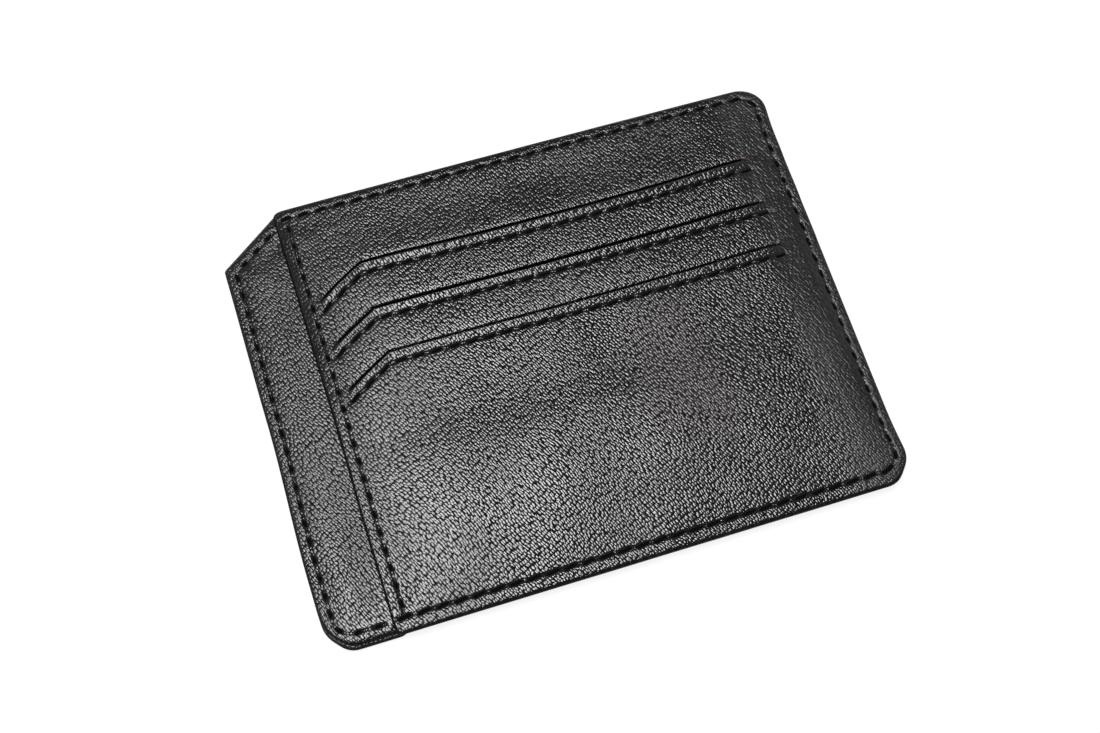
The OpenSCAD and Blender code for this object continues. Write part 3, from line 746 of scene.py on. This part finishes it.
def pocket_bag(name, k, material):
    """One piece of fabric behind slit k: down its rear wall, round its fold and up its front wall."""
    xs = spaced_lines(np.array([FOLD_X + BAG_INSET, SLOT_X0, BEND_X, SLOT_X1, HALF_W - BAG_INSET]),
                      [(SLOT_X0, 1), (SLOT_X1, 1), (BEND_X, 0.5)], BAG_FINE, BAG_COARSE)
    low = BAG_Y[k]
    columns = []
    for x in xs:
        line = SLOT_Y[k] - float(ramp(x))
        flap = np.linspace(line + FLAP, line, FLAP_LINES)[:-1]
        rear = np.concatenate([flap, np.linspace(line - REAR_BELOW, low + FOLD_OVER, WALL_LINES)])
        front = np.linspace(low + FOLD_OVER, line - FRONT_BELOW, WALL_LINES)
        y = np.concatenate([rear, [low], front])
        v = y + float(ramp(x))
        xx = np.full(len(y), x)
        floor = base_top(xx, y) + PLY_GAP + stack(k, xx, y, v)
        shut = rise(y, low, BAG_SHUT_W)
        fullness = (BAG_PUFF * puff(xx, y) + EMPTY_GAP * drape(xx)) * shut * slit_open(xx)
        z = floor + LINING_T / 2
        z[len(rear):] += LINING_T + PLY_GAP + fullness[len(rear):]
        z[len(rear)] = floor[len(rear)] + LINING_T + PLY_GAP / 2
        columns.append(np.column_stack([xx, y, z]))
    return grid_sheet(name, np.array(columns), material)


# Materials

def link(tree, a, b):
    tree.links.new(a, b)


def new_material(name):
    mat = bpy.data.materials.new(name)
    mat.use_nodes = True
    tree = mat.node_tree
    shader = tree.nodes["Principled BSDF"]
    return mat, tree, shader


def add_node(tree, kind, inputs=None, **settings):
    node = tree.nodes.new(kind)
    for key, value in settings.items():
        setattr(node, key, value)
    for key, value in (inputs or {}).items():
        if isinstance(value, bpy.types.NodeSocket):
            tree.links.new(value, node.inputs[key])
        else:
            node.inputs[key].default_value = value
    return node


def math_node(tree, op, a, b=0.0):
    return add_node(tree, "ShaderNodeMath", {0: a, 1: b}, operation=op).outputs[0]


def object_place(tree):
    return add_node(tree, "ShaderNodeTexCoord").outputs["Object"]


def noise(tree, place, scale, detail, output="Fac"):
    return add_node(tree, "ShaderNodeTexNoise", {"Vector": place, "Scale": scale, "Detail": detail}).outputs[output]


def map_range(tree, value, before, after, **settings):
    """Maps the range before, a pair, to the range after."""
    (a, b), (c, d) = before, after
    inputs = {"Value": value, "From Min": a, "From Max": b, "To Min": c, "To Max": d}
    return add_node(tree, "ShaderNodeMapRange", inputs, **settings).outputs[0]


def colour_ramp(tree, fac, stops):
    node = add_node(tree, "ShaderNodeValToRGB", {"Fac": fac})
    ramp_data = node.color_ramp
    while len(ramp_data.elements) < len(stops):
        ramp_data.elements.new(0.5)
    for element, (position, colour) in zip(ramp_data.elements, stops):
        element.position, element.color = position, (*colour, 1)
    return node.outputs["Color"]


def set_bump(tree, shader, height, strength, depth):
    bump = add_node(tree, "ShaderNodeBump", {"Height": height, "Strength": strength, "Distance": depth})
    link(tree, bump.outputs[0], shader.inputs["Normal"])


# Grain: its direction, two bends (scale, reach in metres), and its cells and the fine wrinkles on them
GRAIN_TURN, GRAIN_STRETCH = math.radians(63), 0.58
GRAIN_BENDS = ((50.0, 0.003), (800.0, 0.0004))
CELL_SCALE, CELL_RANDOM, CELL_REACH, CELL_POWER = 2100.0, 0.58, 1.6, 2.55
WRINKLE_SCALE, WRINKLE = 6500.0, 0.12
# Shares of the leather's colour in the creases and on the ridges: painted shade darkens the creases and painted light
# brightens the ridge tops, on top of the shading that the bump gives
CREASE_PAINTED_SHADE, RIDGE_PAINTED_LIGHT = 0.1, 1.2
PATCH_SCALE, PATCH_ROUGH = 90.0, (-0.03, 0.05)
LEATHER_IOR = 1.75
# Leather keeps some roughness where a hand rubs it less: axis, where that starts, where it is most, and how much
UNRUBBED = (("X", -14.0, -38.0, 0.11), ("Y", 22.0, 34.0, 0.06), ("X", 41.0, 49.0, 0.2))


def grain_height(tree, place):
    """Pressed grain of the leather: short ridges that run one way and bend, with narrow creases between."""
    bent = place
    for scale, reach in GRAIN_BENDS:
        bend = noise(tree, place, scale, 1.0, "Color")
        shift = add_node(tree, "ShaderNodeVectorMath", {0: bend, "Scale": reach}, operation="SCALE").outputs[0]
        bent = add_node(tree, "ShaderNodeVectorMath", {0: bent, 1: shift}, operation="ADD").outputs[0]
    turned = add_node(tree, "ShaderNodeMapping", {"Vector": bent, "Rotation": (0, 0, GRAIN_TURN)}).outputs[0]
    ridges = add_node(tree, "ShaderNodeMapping", {"Vector": turned, "Scale": (GRAIN_STRETCH, 1, 1)}).outputs[0]
    cells = add_node(
        tree, "ShaderNodeTexVoronoi", {"Vector": ridges, "Scale": CELL_SCALE, "Randomness": CELL_RANDOM},
        feature="F1", voronoi_dimensions="2D").outputs["Distance"]
    slope = math_node(tree, "POWER", math_node(tree, "MULTIPLY", cells, CELL_REACH), CELL_POWER)
    dome = math_node(tree, "SUBTRACT", 1.0, slope)
    wrinkles = math_node(tree, "MULTIPLY", noise(tree, ridges, WRINKLE_SCALE, 1.0), WRINKLE)
    return math_node(tree, "ADD", dome, wrinkles)


def unrubbed(tree, place):
    """Roughness that the leather keeps along its sides and its top."""
    axes = add_node(tree, "ShaderNodeSeparateXYZ", {"Vector": place})
    total = 0.0
    for axis, start, end, most in UNRUBBED:
        before = (start * MM, end * MM)
        share = map_range(tree, axes.outputs[axis], before, (0.0, most), interpolation_type="SMOOTHSTEP")
        total = math_node(tree, "MAXIMUM", total, share)
    return total


def leather(name, colour, roughness, depth, specular):
    mat, tree, shader = new_material(name)
    place = object_place(tree)
    height = grain_height(tree, place)
    # Painted shade in the creases and painted light on the ridge tops, following the grain's height
    creases, ridges = (tuple(c * share for c in colour) for share in (CREASE_PAINTED_SHADE, RIDGE_PAINTED_LIGHT))
    link(tree, colour_ramp(tree, height, [(0.55, creases), (0.95, ridges)]), shader.inputs["Base Color"])
    patch = noise(tree, place, PATCH_SCALE, 3.0)
    rough = map_range(tree, patch, (0.3, 0.7), [roughness + change for change in PATCH_ROUGH])
    link(tree, math_node(tree, "ADD", rough, unrubbed(tree, place)), shader.inputs["Roughness"])
    shader.inputs["IOR"].default_value = LEATHER_IOR
    shader.inputs["Specular IOR Level"].default_value = specular
    set_bump(tree, shader, height, 1.0, depth)
    return mat


# Length over which the backing shows at the ends of a slit
BACKING_W = 1.0


def cut_edge(name):
    """Raw edge of the slits: near black all along as painted shade in the gaps of the slits, with the reddish backing
    showing at their ends.
    """
    mat, tree, shader = new_material(name)
    place = object_place(tree)
    x = add_node(tree, "ShaderNodeSeparateXYZ", {"Vector": place}).outputs["X"]
    left = math_node(tree, "LESS_THAN", x, (SLOT_X0 + BACKING_W) * MM)
    right = math_node(tree, "GREATER_THAN", x, (SLOT_X1 - BACKING_W) * MM)
    spots = noise(tree, place, 900.0, 3.0)
    share = math_node(tree, "MULTIPLY", math_node(tree, "ADD", left, right), spots)
    # The near black is painted shade for the gaps of the slits; the reddish colour at the ends is the edge's own
    colours = [(0.3, (0.005, 0.004, 0.004)), (0.55, (0.5, 0.17, 0.17))]
    link(tree, colour_ramp(tree, share, colours), shader.inputs["Base Color"])
    shader.inputs["Roughness"].default_value = 0.8
    shader.inputs["Specular IOR Level"].default_value = 0.15
    set_bump(tree, shader, noise(tree, place, 6000.0, 3.0), 0.8, 0.00005)
    return mat


def thread_material(name):
    mat, tree, shader = new_material(name)
    fibres = noise(tree, object_place(tree), 9000.0, 3.0)
    colours = [(0.3, (0.002, 0.002, 0.002)), (0.75, (0.007, 0.007, 0.0075))]
    link(tree, colour_ramp(tree, fibres, colours), shader.inputs["Base Color"])
    shader.inputs["Roughness"].default_value = 0.7
    shader.inputs["Specular IOR Level"].default_value = 0.06
    set_bump(tree, shader, fibres, 0.7, 0.00004)
    return mat


def lining_material(name):
    """Fine plain weave in near black, kept that dark as painted shade where it shows inside the slits."""
    mat, tree, shader = new_material(name)
    thread = {"Vector": object_place(tree), "Scale": 900.0, "Distortion": 0.6, "Detail": 1.0}
    warp, weft = (add_node(tree, "ShaderNodeTexWave", thread, bands_direction=axis).outputs["Fac"] for axis in "XY")
    weave = math_node(tree, "MULTIPLY", warp, weft)
    # The near-black level is painted shade for the gaps of the slits; the lighter threads are the weave's own
    colours = [(0.0, (0.004, 0.004, 0.005)), (1.0, (0.016, 0.016, 0.017))]
    link(tree, colour_ramp(tree, weave, colours), shader.inputs["Base Color"])
    shader.inputs["Roughness"].default_value = 0.6
    set_bump(tree, shader, weave, 0.6, 0.00005)
    return mat


def board_material(name):
    """Grey board with fibres."""
    mat, tree, shader = new_material(name)
    fibres = noise(tree, object_place(tree), 1400.0, 5.0)
    colours = [(0.3, (0.24, 0.19, 0.14)), (0.7, (0.36, 0.30, 0.23))]
    link(tree, colour_ramp(tree, fibres, colours), shader.inputs["Base Color"])
    shader.inputs["Roughness"].default_value = 0.85
    set_bump(tree, shader, fibres, 0.4, 0.00005)
    return mat


leather_black = leather("black_leather", (0.006, 0.006, 0.0062), roughness=0.165, depth=0.000048, specular=0.5)
leather_side = leather("black_leather_side", (0.009, 0.009, 0.009), roughness=0.55, depth=0.00004, specular=0.08)
raw_edge = cut_edge("raw_cut_edge")
black_thread = thread_material("black_thread")
lining_fabric = lining_material("lining_weave")
board = board_material("grey_board")


# Pieces

# The margin bulges at its bottom corner and leans up towards the outline
BULGE, BULGE_X, BULGE_Y, BULGE_W = 0.2, -51.5, -36, 12
LEAN, LEAN_X, LEAN_HALF = 0.07, -49, 6


def base_outer(x, y, d):
    bulge = BULGE * bell(np.hypot(x - BULGE_X, y - BULGE_Y), BULGE_W) * rise(-x, -FOLD_X, 6) * rise(d, 2.5, 4)
    lean = LEAN * np.clip(LEAN_X - x, -LEAN_HALF, LEAN_HALF)
    lean = lean * rise(d, 2.2, 3) * rise(-x, -FOLD_X - 1, 2) * rise(y, -41, 9)
    uneven = WAVE_H * waves(x, y, size=22, seed=5) * pillow(np.maximum(d, 2.0))
    return BASE_Z + EDGE_T - HALF_ROLL * roll(d) + front_lift(x, y, d) + lean + bulge + uneven


def base_outer_sewn(x, y, d):
    """The row of the margin pulls down only leather that the slotted panel leaves free."""
    return base_outer(x, y, d) - margin_row.dip(x, y) * rise(-x, 0.2 - FOLD_X, 0.6)


def half_thick(d):
    return np.where(np.asarray(d) > TURN_IN_W, LEATHER_T, EDGE_T)


def base_inner(x, y, d):
    return BASE_Z + front_lift(x, y, d) + EDGE_T - half_thick(d)


def back_outer(x, y, d):
    return back_lift(d) + sum(r.dip(x, y) for r in back_seam + back_hem)


def back_inner(x, y, d):
    return np.full_like(x, back_lift(d) + half_thick(d))


skins = [leather_black, leather_side]
back = leather_half("back_leather", back_outer, back_inner, skins, back_seam + back_hem, margin_share=0.3)
base = leather_half("base_leather", base_outer_sewn, base_inner, skins, [margin_row], margin_share=1.0)
front = slotted_panel("slotted_leather", skins + [raw_edge])
HALF_CUT = BODY_W * BODY_H - (STRIP_W + CUT_PAST) * CUT_H / 2
FRONT_W = HALF_W - FOLD_X
for piece, node, width, area, under in (
        (back, "back_panel", BODY_W, HALF_CUT, "back_lining_fabric"),
        (base, "base_panel", BODY_W, HALF_CUT, "base_lining_fabric"),
        (front, "slotted_panel", FRONT_W, FRONT_W * BODY_H, "base_leather")):
    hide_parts(node)


def margin_level(x, y):
    return np.full_like(x, BASE_Z + EDGE_T)


def back_stitch_level(x, y):
    return np.full_like(x, BACK_BELLY)


stitch_groups = [
    ("side_seam_margin_stitches", [margin_row], margin_level, 1, "side_seam_front_thread"),
    ("side_seam_front_stitches", [bottom_row, right_row], panel_height, 1, "side_seam_front_thread"),
    ("front_hem_stitches", [top_row], panel_height, 1, "front_hem_thread"),
    ("fold_edge_stitches", [fold_row], panel_height, 1, "fold_edge_thread"),
    ("side_seam_back_stitches", back_seam, back_stitch_level, -1, "side_seam_back_thread"),
    ("back_hem_stitches", back_hem, back_stitch_level, -1, "back_hem_thread"),
]
for place, rows in zip(PLACES, slot_rows):
    stitch_groups.append((f"slot_stitches_{place}", rows, panel_height, 1, f"slot_thread_{place}"))
for name, rows, height, up, node in stitch_groups:
    piece = stitches(name, rows, height, black_thread, up)
    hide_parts(node)


def back_lining_height(x, y, d):
    return np.full_like(x, back_lift(d) + EDGE_T + PLY_GAP + LINING_T / 2)


def base_lining_height(x, y, d):
    return SEAM_Z + PLY_GAP / 2 + LINING_T / 2 + front_lift(x, y, d)


for place, height in (("back", back_lining_height), ("base", base_lining_height)):
    sheet = half_lining(f"{place}_lining_fabric", height, lining_fabric)
    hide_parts(f"{place}_lining")
for k, place in enumerate(PLACES):
    bag = pocket_bag(f"pocket_bag_{place}", k, lining_fabric)
    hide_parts(f"pocket_lining_{place}")
for node in ("back_stiffener", "base_stiffener"):
    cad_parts[node].data.materials.clear()
    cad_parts[node].data.materials.append(board)


# Stage, in metres

FLOOR_GLOW, FLOOR_GREY = 0.86, 0.24
# Radius and height of each ring of the floor, which is flat and rises only far away
FLOOR_RINGS = [(2.0, 0.0), (5.6, 0.0), (6.8, 0.03), (7.6, 0.14), (8.0, 0.35), (8.2, 1.1)]
FLOOR_PARTS = 48


def floor_material():
    """Pale floor that the camera sees as white, and that keeps the object's shadow."""
    mat = bpy.data.materials.new("pale_floor")
    mat.use_nodes = True
    tree = mat.node_tree
    tree.nodes.clear()
    path = add_node(tree, "ShaderNodeLightPath")
    seen = math_node(tree, "MAXIMUM", path.outputs["Is Camera Ray"], path.outputs["Is Glossy Ray"])
    seen = math_node(tree, "MAXIMUM", seen, path.outputs["Is Transmission Ray"])
    glow = add_node(tree, "ShaderNodeEmission", {"Strength": math_node(tree, "MULTIPLY", seen, FLOOR_GLOW)})
    matt = add_node(tree, "ShaderNodeBsdfDiffuse", {"Color": (FLOOR_GREY, FLOOR_GREY, FLOOR_GREY, 1)})
    both = add_node(tree, "ShaderNodeAddShader", {0: glow.outputs[0], 1: matt.outputs[0]})
    out = add_node(tree, "ShaderNodeOutputMaterial")
    link(tree, both.outputs[0], out.inputs["Surface"])
    return mat


def stage_floor():
    """Floor whose far edge rises as a backdrop all round."""
    points, faces = [], []
    for radius, height in FLOOR_RINGS:
        for i in range(FLOOR_PARTS):
            a = math.tau * i / FLOOR_PARTS
            points.append((radius * math.cos(a), radius * math.sin(a), height))
    for r in range(len(FLOOR_RINGS) - 1):
        for i in range(FLOOR_PARTS):
            a, b = r * FLOOR_PARTS + i, r * FLOOR_PARTS + (i + 1) % FLOOR_PARTS
            faces.append((a, b, b + FLOOR_PARTS, a + FLOOR_PARTS))
    faces.append(tuple(range(FLOOR_PARTS)))
    mesh = bpy.data.meshes.new("floor")
    mesh.from_pydata(points, [], faces)
    mesh.materials.append(floor_material())
    mesh.polygons.foreach_set("use_smooth", [True] * (len(faces) - 1) + [False])
    floor = bpy.data.objects.new("floor", mesh)
    bpy.context.scene.collection.objects.link(floor)


def area_lamp(name, place, size, power, colour):
    """Round lamp that shines at the middle of the part."""
    lamp = bpy.data.lights.new(name, "AREA")
    lamp.shape = "DISK"
    lamp.size = size
    lamp.energy = power
    lamp.color = colour
    obj = bpy.data.objects.new(name, lamp)
    obj.location = place
    obj.rotation_euler = (-Vector(place)).to_track_quat("-Z", "Y").to_euler()
    bpy.context.scene.collection.objects.link(obj)


def studio_world(horizon, zenith, colour):
    """Soft light from all round, stronger low down."""
    world = bpy.data.worlds.new("studio")
    world.use_nodes = True
    tree = world.node_tree
    look = add_node(tree, "ShaderNodeTexCoord").outputs["Generated"]
    up = add_node(tree, "ShaderNodeSeparateXYZ", {"Vector": look}).outputs["Z"]
    background = tree.nodes["Background"]
    background.inputs["Color"].default_value = (*colour, 1)
    link(tree, map_range(tree, up, (0.05, 0.4), (horizon, zenith)), background.inputs["Strength"])
    bpy.context.scene.world = world


def camera():
    """Camera from the lower left, about 69 degrees up, turned so that the holder lies askew."""
    place = Vector((-0.06036, -0.11569, 0.33512))
    right = Vector((0.94902633, -0.3093695, 0.06032852))
    down = Vector((-0.26961144, -0.89591223, -0.35305941))
    ahead = Vector((0.16327487, 0.31879742, -0.93365386))
    data = bpy.data.cameras.new("camera")
    data.sensor_width = 36.0
    data.lens = 61.6
    obj = bpy.data.objects.new("camera", data)
    axes = Matrix((right, -down, -ahead)).transposed().to_4x4()
    obj.matrix_world = Matrix.Translation(place) @ axes
    bpy.context.scene.collection.objects.link(obj)
    bpy.context.scene.camera = obj


stage_floor()
area_lamp("key", place=(-0.13, 0.02, 0.9), size=0.46, power=6.3, colour=(1, 0.98, 1))
studio_world(horizon=0.5, zenith=0.1, colour=(0.98, 1, 0.95))
camera()
bpy.context.scene.view_settings.view_transform = "Standard"

bpy.context.view_layer.update()
